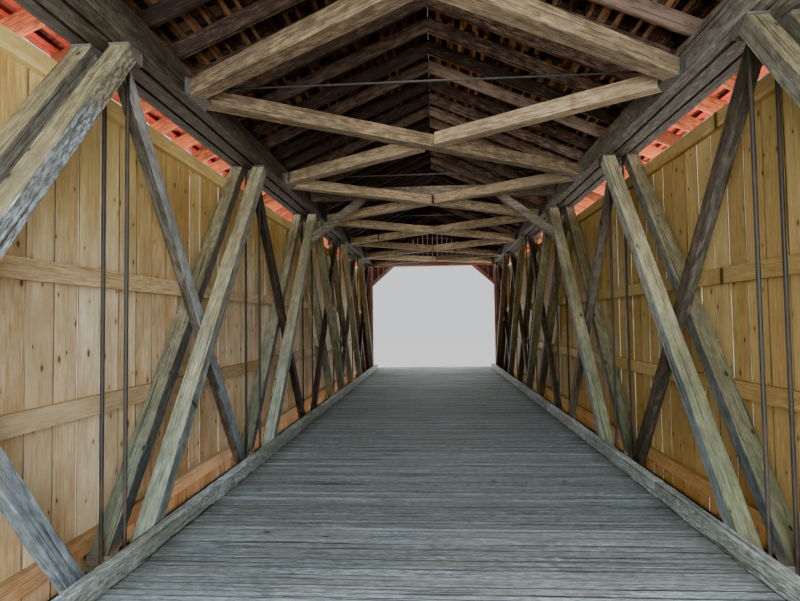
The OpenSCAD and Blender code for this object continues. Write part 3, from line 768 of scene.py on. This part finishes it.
class BRIDGE_OT_braces(bpy.types.Operator):
    """Dresses the main braces and the counter braces of both trusses"""
    bl_idname = "bridge.braces"
    bl_label = "Truss braces"

    def execute(self, context):
        s = context.scene.bridge_timbers
        inner, outer = MAIN_LO.x + BRACE_W / 2, MAIN_HI.x - BRACE_W / 2
        middle = (COUNTER_LO.x + COUNTER_HI.x) / 2
        main = self.timber(s, BRACE_W, MAIN_D, MAIN_FOOT, MAIN_HEAD)
        counter = self.timber(s, COUNTER_HI.x - COUNTER_LO.x, COUNTER_D, COUNTER_FOOT, COUNTER_HEAD)
        for side, word in SIDES:
            rng = np.random.default_rng(20 + side)
            mains, counters = [], []
            for k in range(PANELS):
                lean = leaning(k)
                # the left braces are painted lighter than the right; the roadway faces carry painted sky
                # light on the inner braces and painted shade on the outer ones
                plank = "weathered brace" if side < 0 else "right brace in painted shade"
                face = "rough side in painted sky light" if side < 0 and k == 0 else "brace side"
                ends = brace_ends(*lean, MAIN_FOOT, MAIN_HEAD)
                for x, look in ((inner, face), (outer, "shaded brace side")):
                    mains.append(self.stand(main, side, x, ends, rng, s.wear, plank, look))
                # counters: painted light on the near left ones, painted shade on the fronts and on the right
                face, front = "right counter side", "counter front"
                if side < 0 and k < 2:
                    face = ("near counter in painted light", "left counter side")[k]
                    front = face if k == 0 else front
                ends = brace_ends(*lean[::-1], COUNTER_FOOT, COUNTER_HEAD)
                counters.append(self.stand(counter, side, middle, ends, rng, s.wear, front, face))
            a = join(mains, word + "_dressed_braces", MATS["weathered brace"])
            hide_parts(word + "_main_braces")
            b = join(counters, word + "_dressed_counters", MATS[word + " counter side"])
            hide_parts(word + "_counter_braces")
        drop(main)
        drop(counter)
        return {"FINISHED"}

    def timber(self, s, wide, deep, foot, head):
        """One brace, as a model for the copies."""
        (ay, az), (by, bz) = brace_ends(0, 1, foot, head)
        return bar((wide, math.hypot(by - ay, bz - az), deep), s.arris, cuts=23, segments=2)

    def stand(self, src, side, x, ends, rng, wear, plank, face):
        """One copy in its place, with its own finish on the side toward the roadway, which carries the
        painted light or shade given for it.
        """
        (py, pz), (qy, qz) = ends
        o = copy_bar(src, two_point((side * x, py, pz), (side * x, qy, qz)), rng, wear)
        face_finish(o, (plank, face), inward(side, 0.7))
        return o


def angle_block(wide, back, foot, run):
    """A block that stands on z = 0, with its back at y = back and its slope square to a brace's foot."""
    reach = foot[0] + foot[1] * run[1] / run[0]
    rise = foot[1] + (foot[0] - back) * run[0] / run[1]
    spare, arris = 0.02, 0.004
    clear_selection()
    bpy.ops.mesh.primitive_cube_add(size=1.0, location=(0, (back + reach + spare) / 2, (rise + spare) / 2))
    obj = bpy.context.object
    obj.scale = (wide, reach + spare - back, rise + spare)
    bpy.ops.object.transform_apply(location=True, scale=True)
    bpy.ops.object.mode_set(mode="EDIT")
    bpy.ops.mesh.select_all(action="SELECT")
    bpy.ops.mesh.bisect(plane_co=(0, *foot), plane_no=(0, *run), use_fill=True, clear_outer=True)
    bpy.ops.mesh.select_all(action="SELECT")
    bpy.ops.mesh.bevel(offset=arris, segments=2, affect="EDGES")
    bpy.ops.object.mode_set(mode="OBJECT")
    return obj


class BRIDGE_OT_blocks(bpy.types.Operator):
    """Sets the lower angle blocks, wedges that the feet of the braces stand on"""
    bl_idname = "bridge.blocks"
    bl_label = "Lower angle blocks"

    def execute(self, context):
        rng = np.random.default_rng(40)
        clear = 0.005
        main_back, counter_back = ROD / 2 + clear, COUNTER_FOOT[0] - COUNTER_D / 2
        made = []
        for foot, head, lo, hi, back, turned in (
                (MAIN_FOOT, MAIN_HEAD, MAIN_LO.x, MAIN_HI.x, main_back, 1),
                (COUNTER_FOOT, COUNTER_HEAD, COUNTER_LO.x, COUNTER_HI.x, counter_back, -1)):
            (ay, az), (by, bz) = brace_ends(0, 1, foot, head)
            src = angle_block(hi - lo, back, foot, (by - ay, bz - az))
            for k in range(PANELS):
                bottom, top = leaning(k)[::turned]
                turn = Matrix.Rotation(0 if top > bottom else math.pi, 4, "Z")
                for side in (-1, 1):
                    place = Matrix.Translation((side * (lo + hi) / 2, -HALF + bottom * PANEL, CHORD_HI.z))
                    made.append(copy_bar(src, place @ turn, rng, 0.0005))
            drop(src)
        blocks = join(made, "dressed_lower_blocks", MATS["lower angle block"])
        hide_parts("lower_angle_blocks")
        return {"FINISHED"}


class BRIDGE_OT_laterals(bpy.types.Operator):
    """Dresses the lateral braces. One of each crossed pair runs through, the other is cut at the middle"""
    bl_idname = "bridge.laterals"
    bl_label = "Upper bracing"

    def execute(self, context):
        s = context.scene.bridge_timbers
        rng = np.random.default_rng(31)
        seat, off, gap = 0.07, 0.115, 0.002
        x, z = CAP_LO.x - seat, CAP_LO.z + LATERAL_H / 2
        stops = [-HALF + k * PANEL + NODE_SHIFT for k in range(PANELS)] + [HALF]
        made = []
        for a, b in zip(stops[:-1], stops[1:]):
            p, q = Vector((-x, a + off, z)), Vector((x, b - off, z))
            r, t = Vector((-x, b - off, z)), Vector((x, a + off, z))
            mid = (p + q) / 2
            u, v = (q - p).normalized(), (t - r).normalized()
            cross = abs(u.x * v.y - u.y * v.x)
            cut = (LATERAL_W / 2 + gap) / cross + LATERAL_W / 2 * abs(u.dot(v)) / cross
            for c, d in ((p, q), (r, mid - v * cut), (mid + v * cut, t)):
                src = bar((LATERAL_W, (d - c).length, LATERAL_H), s.arris, cuts=9)
                made.append(copy_bar(src, two_point(c, d), rng, s.wear))
                drop(src)
        o = join(made, "dressed_laterals", MATS["lateral timber"])
        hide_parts("lateral_braces")
        return {"FINISHED"}


class BRIDGE_OT_siding(bpy.types.Operator):
    """Nails up the upright siding boards on both sides"""
    bl_idname = "bridge.siding"
    bl_label = "Siding boards"

    def execute(self, context):
        s = context.scene.bridge_boards
        count, step = share_out(SKIN_LO, SKIN_HI, s.board)
        thick = SKIN_HI.x - SKIN_LO.x
        high = SKIN_HI.z - SKIN_LO.z
        middle_x, middle_z = SKIN_LO.x + thick / 2, (SKIN_LO.z + SKIN_HI.z) / 2
        stand = laid(Y_AXIS, Z_AXIS, X_AXIS)
        shrunk, askew, ragged, uneven, cupped, reach = 0.015, 0.0009, 0.035, 0.0025, 0.004, 0.004
        foot, strip_wide, strip_thick, strip_short = 0.01, 0.022, 0.006, 0.03
        for side, word in SIDES:
            rng = np.random.default_rng(40 + side)
            src = bar((step - s.joint, high, thick), 0.003, cuts=5)
            src.data.transform(stand)
            co = rows(src, count, (0, step, 0))
            co[..., 1] += SKIN_LO.y + step / 2
            mid = co.mean(axis=1, keepdims=True)
            local = co - mid
            grain, tone = board_grain(rng, local, [1, 2, 0])
            across = local[..., 1] / (step - s.joint) * 2
            co[..., 1] = mid[..., 1] + local[..., 1] * rng.uniform(1 - shrunk, 1.0, (count, 1))
            co[..., 1] += local[..., 2] * rng.uniform(-askew, askew, (count, 1))
            low = local[..., 2] < -high / 2 + foot
            co[..., 2] += np.where(low, rng.uniform(0.0, ragged, (count, 1)), 0)
            co[..., 0] = side * middle_x + co[..., 0] + rng.uniform(-uneven, uneven, (count, 1))
            co[..., 0] += rng.uniform(-cupped, cupped, (count, 1)) * across
            co[..., 0] = side * np.clip(side * co[..., 0], SKIN_LO.x - reach, SKIN_HI.x + reach)
            co[..., 2] += middle_z
            set_points(src.data, co.reshape(-1, 3))
            mark_grain(src.data, grain, tone, across.ravel())
            # loose tongues close most of the joints
            tongue = bar((strip_wide, high - strip_short, strip_thick), 0.001)
            tongue.data.transform(stand)
            parts = [src]
            for k in range(1, count):
                if rng.random() < s.open_joints:
                    continue
                place = Matrix.Translation((side * middle_x, SKIN_LO.y + k * step, middle_z))
                o = copy_bar(tongue, place, rng, 0.0)
                o.data.attributes["tone"].data.foreach_set("value", np.zeros(len(o.data.vertices)))
                parts.append(o)
            drop(tongue)
            o = join(parts, word + "_siding_boards", None)
            # the board edges have the third finish, pale: painted light on the sunlit edges in the open
            # joints; the outside has the second
            face_finish(o, ("pine board " + word, "red board", "board edge in painted light"),
                        lambda n: np.where(abs(n[:, 1]) > 0.9, 2, n[:, 0] * side > 0.5))
            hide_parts(word + "_siding")
        return {"FINISHED"}


class BRIDGE_OT_portals(bpy.types.Operator):
    """Boards both portals: side walls, clipped corners and gables"""
    bl_idname = "bridge.portals"
    bl_label = "Portal boards"

    def execute(self, context):
        rng = np.random.default_rng(51)
        clear_height, post, clip_x, clip_z = 3.67, 0.15, 0.78, 0.70
        head, jamb = DECK_HI.z + clear_height, POST_HI.x - post
        edges = [*np.linspace(0, jamb - clip_x, 9), *np.linspace(jamb - clip_x, jamb, 5)[1:],
                 *np.linspace(jamb, BOARD_HI.x, 4)[1:]]
        thick = BOARD_HI.y - BOARD_LO.y
        wide, hair, inside, under = 0.1, 1e-6, 1e-4, 0.001
        tight, loose, ragged = 0.001, 0.003, 0.03

        def foot(x):
            """Height of the opening over a place beside the middle of the roadway."""
            if x < jamb - clip_x + hair:
                return head
            return head - clip_z * (x - jamb + clip_x) / clip_x

        for end, word in ((-1, "near"), (1, "far")):
            made = []
            src = bar((wide, 1.0, thick), 0.002, cuts=6)
            src.data.transform(laid(X_AXIS, Z_AXIS, Y_AXIS))
            src.data.flip_normals()
            base = points(src.data)
            for a, b in zip(edges[:-1], edges[1:]):
                for side in (-1, 1):
                    mesh = src.data.copy()
                    co = base.copy()
                    gap = rng.uniform(tight, loose)
                    x = a + gap + (b - a - 2 * gap) * (co[:, 0] / wide + 0.5)
                    if a >= jamb - hair:
                        low = np.full(len(x), BOARD_LO.z + rng.uniform(0, ragged))
                    else:
                        low = np.array([foot(min(v, jamb - inside)) for v in x])
                    high = BOARD_HI.z - abs(x) * math.tan(PITCH) - under
                    co[:, 2] = low + (high - low) * (co[:, 2] + 0.5)
                    co[:, 0] = side * x
                    co[:, 1] += end * (BOARD_LO.y + thick / 2)
                    grain = np.stack([x, co[:, 2], co[:, 1]], -1) + rng.uniform(-40, 40, 3)
                    mark_grain(mesh, grain, np.full(len(x), rng.random()))
                    set_points(mesh, co)
                    if side < 0:
                        mesh.flip_normals()
                    made.append(place_new("portal board", mesh))
            drop(src)
            o = join(made, word + "_portal_cladding", MATS["red board"])
            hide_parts(word + "_portal_boards")
        return {"FINISHED"}


class BRIDGE_OT_shingles(bpy.types.Operator):
    """Lays the split shingles in courses on the laths"""
    bl_idname = "bridge.shingles"
    bl_label = "Shingles"

    def execute(self, context):
        s = context.scene.bridge_boards
        count, step = share_out(SHINGLE_LO, SHINGLE_HI, s.shingle)
        slope = SHINGLE_HI.x / math.cos(PITCH)
        expose, long, thick, joint = 0.15, 0.33, 0.011, 0.0015
        uneven, ragged, curled, clear, taper, lath = 0.32, 0.006, 0.0022, 0.0015, 0.0125, 0.025
        courses = int(slope / expose)
        n = courses * count
        lath_top = RAFTER_HI.z + lath / math.cos(PITCH)
        c, t = math.cos(PITCH), math.sin(PITCH)
        for side, word in SIDES:
            rng = np.random.default_rng(60 + side)
            src = bar((step, long, thick), 0.0015)
            # X down the slope, Y along the bridge, Z off the roof
            src.data.transform(laid(Y_AXIS, X_AXIS, Z_AXIS))
            src.data.flip_normals()
            rows(src, count, (0, step, 0))
            co = rows(src, courses, (-expose, 0, 0)).reshape(n, -1, 3)
            local = co - co.mean(axis=1, keepdims=True)
            cuts = rng.uniform(-uneven, uneven, (courses, count + 1)) * step
            cuts[:, 0] = cuts[:, -1] = 0
            lo = (np.arange(count) * step + cuts[:, :-1] + joint).reshape(n, 1)
            hi = (np.arange(1, count + 1) * step + cuts[:, 1:] - joint).reshape(n, 1)
            y = SHINGLE_LO.y + lo + (hi - lo) * (local[..., 1] / step + 0.5)
            row = np.repeat(np.arange(courses), count).reshape(n, 1)
            butt = np.minimum(slope - row * expose + rng.uniform(-ragged, ragged, (n, 1)), slope)
            along = butt + local[..., 0] - long / 2
            thin = 1.0 - 0.65 * (0.5 - local[..., 0] / long)
            lift = clear + (0.5 + local[..., 0] / long) * taper
            off = lift + (local[..., 2] + thick / 2) * thin
            off = off + rng.uniform(0, curled, (n, 1)) * (along > butt - expose - 0.01)
            along = np.maximum(along, 0.0)
            grain, tone = board_grain(rng, local, [1, 0, 2])
            x = np.maximum(along * c + off * t, 0.0)
            z = lath_top - along * t + off * c
            set_points(src.data, np.stack([side * x, y, z], -1).reshape(-1, 3))
            mark_grain(src.data, grain, tone)
            if side < 0:
                src.data.flip_normals()
            o = settle(src, word + "_laid_shingles")
            face_finish(o, ("split shingle", "shingle underside"), lambda n: n[:, 2] < 0)
            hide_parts(word + "_shingles")
        return {"FINISHED"}


def stone_wall(box_lo, box_hi, rng, course=0.27, wide=0.55, deep=0.47):
    """Laid stones that fill a box, each with its own size and face, and the mortar bed behind them."""
    uneven, joint, rough, rounded = 0.28, 0.014, 0.004, 0.06
    bed = Vector((0.05, 0.05, 0.03))
    made = []
    src = bar((1, 1, 1), rounded, cuts=1, segments=2)
    base = points(src.data)
    size = box_hi - box_lo
    nz = max(1, round(size.z / course))
    ny = max(1, round(size.y / deep))
    for iz in range(nz):
        z0 = box_lo.z + size.z * iz / nz
        z1 = box_lo.z + size.z * (iz + 1) / nz
        for iy in range(ny):
            y0 = box_lo.y + size.y * iy / ny
            y1 = box_lo.y + size.y * (iy + 1) / ny
            nx = max(2, round(size.x / wide) + int(rng.integers(-1, 2)))
            cut = np.linspace(box_lo.x, box_hi.x, nx + 1)
            cut[1:-1] += rng.uniform(-uneven, uneven, nx - 1) * size.x / nx
            for a, b in zip(cut[:-1], cut[1:]):
                mesh = src.data.copy()
                span = np.array([b - a, y1 - y0, z1 - z0]) - joint
                co = base * span + np.array([(a + b) / 2, (y0 + y1) / 2, (z0 + z1) / 2])
                co = np.clip(co + rng.normal(0, rough, co.shape), box_lo, box_hi)
                mark_grain(mesh, base * span + rng.uniform(-40, 40, 3), np.full(len(co), rng.random()))
                set_points(mesh, co)
                made.append(place_new("stone", mesh))
    drop(src)
    core = bar(tuple(size - bed), 0.01)
    made.append(copy_bar(core, Matrix.Translation((box_lo + box_hi) / 2), np.random.default_rng(5), 0.0))
    drop(core)
    return made


class BRIDGE_OT_stones(bpy.types.Operator):
    """Lays the stones of the abutments and of the back walls"""
    bl_idname = "bridge.stones"
    bl_label = "Abutment stones"

    def execute(self, context):
        rng = np.random.default_rng(71)
        for node in ("near_abutment", "far_abutment"):
            lo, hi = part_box(node)
            o = join(stone_wall(lo, hi, rng), node + "_stones", MATS["field stone"])
            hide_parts(node)
        lo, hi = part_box("back_walls")
        deep = 0.4
        made = []
        for y0, y1 in ((lo.y, lo.y + deep), (hi.y - deep, hi.y)):
            made += stone_wall(Vector((lo.x, y0, lo.z)), Vector((hi.x, y1, hi.z)), rng,
                               course=0.21, wide=0.6, deep=deep)
        o = join(made, "back_wall_stones", MATS["field stone"])
        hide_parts("back_walls")
        return {"FINISHED"}


class BRIDGE_OT_ironwork(bpy.types.Operator):
    """Adds square nuts and washers to the rods"""
    bl_idname = "bridge.ironwork"
    bl_label = "Nuts and washers"

    def execute(self, context):
        rng = np.random.default_rng(81)
        made = []
        nut_wide, nut_high, nut_mid, rod_over = 0.055, 0.028, 0.015, 0.115
        nut = bar((nut_wide, nut_wide, nut_high), 0.004)
        plate_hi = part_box("upper_rod_plates")[1].z
        plate_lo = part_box("lower_rod_plates")[0].z
        for side in (-1, 1):
            for x in ROD_X:
                for k in range(PANELS + 1):
                    for z in (plate_hi + nut_mid, plate_lo - nut_mid):
                        m = Matrix.Translation((side * x, -HALF + k * PANEL, z))
                        m = m @ Matrix.Rotation(rng.uniform(0, 1.5), 4, "Z")
                        made.append(copy_bar(nut, m, rng, 0.0))
        drop(nut)
        # washers and nuts on the ends of the tie rods
        flat, thick, washer_wide, end_wide = 0.012, 0.024, 0.11, 0.042
        washer = bar((flat, washer_wide, washer_wide), 0.003)
        end_nut = bar((thick, end_wide, end_wide), 0.003)
        z = CAP_LO.z + rod_over
        for side in (-1, 1):
            for k in range(PANELS):
                y = -HALF + k * PANEL + NODE_SHIFT
                for src, off in ((washer, flat / 2), (end_nut, flat + thick / 2)):
                    m = Matrix.Translation((side * (CAP_HI.x + off), y, z))
                    m = m @ Matrix.Rotation(rng.uniform(-0.3, 0.3), 4, "X")
                    made.append(copy_bar(src, m, rng, 0.0))
        drop(washer)
        drop(end_nut)
        o = join(made, "nuts_and_washers", MATS["old iron"])
        return {"FINISHED"}


class BRIDGE_OT_stage(bpy.types.Operator):
    """Floor, light and the camera at the place of the photograph"""
    bl_idname = "bridge.stage"
    bl_label = "Stage"

    def execute(self, context):
        s = context.scene.bridge_stage
        clear_selection()
        bpy.ops.mesh.primitive_plane_add(size=160, location=(0, 0, -0.002))
        floor = context.object
        floor.name = "studio_floor"
        floor.data.materials.append(MATS["studio floor"])
        world = bpy.data.worlds.new("studio")
        context.scene.world = world
        world.use_nodes = True
        bg = world.node_tree.nodes["Background"]
        bg.inputs["Color"].default_value = (*s.sky_colour, 1.0)
        bg.inputs["Strength"].default_value = s.sky
        out, up = math.radians(115), math.radians(170)
        edge, sill_x, sill_z = SKIN_HI.x + 0.65, CHORD_LO.x + 0.25, CHORD_HI.z + 0.07
        # name, place, turn, size, power and colour
        lamps = [
            ("near portal", (0.0, -12.5, 4.2), (math.radians(90), 0, 0), (4.5, 3.6), 1250, (0.80, 0.92, 1.0)),
            ("far portal", (0.0, 12.5, 3.2), (math.radians(-90), 0, 0), (4.3, 2.2), 270, (0.97, 1.0, 0.97)),
            ("ridge", (0.0, 0.0, 6.35), (0, 0, 0), (0.5, 15.0), 80, (1.0, 0.96, 0.9)),
            ("left eave", (-5.5, 0, 5.2), (0, math.radians(-80), 0), (1.2, 19.0), 600, (1.0, 0.95, 0.85)),
            ("right eave", (5.5, 0, 5.2), (0, math.radians(80), 0), (1.2, 19.0), 900, (1.0, 0.95, 0.85)),
            ("left upward", (-edge, 0, 3.6), (0, -up, 0), (0.8, 19.0), 520, (1.0, 0.93, 0.86)),
            ("right upward", (edge, 0, 3.6), (0, up, 0), (0.8, 19.0), 620, (1.0, 0.93, 0.86)),
            ("left sill", (-sill_x, 0, sill_z), (0, out, 0), (0.08, 17.0), 11, (1.0, 0.62, 0.42)),
            ("right sill", (sill_x, 0, sill_z), (0, -out, 0), (0.08, 17.0), 7, (1.0, 0.74, 0.68)),
        ]
        for name, place, turn, size, power, colour in lamps:
            data = bpy.data.lights.new(name, "AREA")
            data.shape = "RECTANGLE"
            data.size, data.size_y = size
            data.energy = power * s.fill
            data.color = colour
            lamp = place_new(name, data)
            lamp.location = place
            lamp.rotation_euler = turn
            lamp.visible_camera = False
        sun = bpy.data.lights.new("soft sun", "SUN")
        sun.energy = 1.6
        sun.angle = math.radians(12)
        sun.color = (1.0, 0.96, 0.9)
        place_new("soft sun", sun).rotation_euler = (math.radians(48), math.radians(8), math.radians(-35))
        data = bpy.data.cameras.new("photo view")
        data.sensor_width = 36.0
        data.lens = FOCUS / PICTURE * data.sensor_width
        data.clip_start, data.clip_end = 0.05, 400
        cam = place_new("photo view", data)
        cam.location = CAMERA
        turn = Matrix.Rotation(PAN, 4, "Z") @ Matrix.Rotation(math.pi / 2 + TILT, 4, "X")
        cam.rotation_mode = "QUATERNION"
        cam.rotation_quaternion = (turn @ Matrix.Rotation(ROLL, 4, "Z")).to_quaternion()
        context.scene.camera = cam
        context.scene.view_settings.look = "AgX - Punchy"
        context.scene.view_settings.exposure = 0.72
        return {"FINISHED"}


OPERATORS = (
    BRIDGE_OT_finishes, BRIDGE_OT_stage, BRIDGE_OT_deck, BRIDGE_OT_curbs, BRIDGE_OT_braces, BRIDGE_OT_blocks,
    BRIDGE_OT_laterals, BRIDGE_OT_siding, BRIDGE_OT_portals, BRIDGE_OT_shingles, BRIDGE_OT_stones,
    BRIDGE_OT_ironwork,
)


class BRIDGE_PT_panel(bpy.types.Panel):
    """The steps of the bridge, in the 3D view's sidebar"""
    bl_label = "Covered Bridge"
    bl_idname = "BRIDGE_PT_panel"
    bl_space_type = "VIEW_3D"
    bl_region_type = "UI"
    bl_category = "Bridge"

    def draw(self, context):
        for group in (context.scene.bridge_boards, context.scene.bridge_timbers, context.scene.bridge_stage):
            box = self.layout.box()
            for name in group.__annotations__:
                box.prop(group, name)
        for op in OPERATORS:
            self.layout.operator(op.bl_idname)


CLASSES = (BridgeBoards, BridgeTimbers, BridgeStage, *OPERATORS, BRIDGE_PT_panel)


def register():
    for c in CLASSES:
        bpy.utils.register_class(c)
    bpy.types.Scene.bridge_boards = bpy.props.PointerProperty(type=BridgeBoards)
    bpy.types.Scene.bridge_timbers = bpy.props.PointerProperty(type=BridgeTimbers)
    bpy.types.Scene.bridge_stage = bpy.props.PointerProperty(type=BridgeStage)


def unregister():
    del bpy.types.Scene.bridge_stage
    del bpy.types.Scene.bridge_timbers
    del bpy.types.Scene.bridge_boards
    for c in reversed(CLASSES):
        bpy.utils.unregister_class(c)


def build():
    """Registers the add-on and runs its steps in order."""
    register()
    bpy.ops.bridge.finishes()
    bpy.ops.bridge.stage()
    bpy.ops.bridge.deck()
    bpy.ops.bridge.curbs()
    bpy.ops.bridge.braces()
    bpy.ops.bridge.blocks()
    bpy.ops.bridge.laterals()
    bpy.ops.bridge.siding()
    bpy.ops.bridge.portals()
    bpy.ops.bridge.shingles()
    bpy.ops.bridge.stones()
    bpy.ops.bridge.ironwork()


if __name__ == "__main__":
    build()
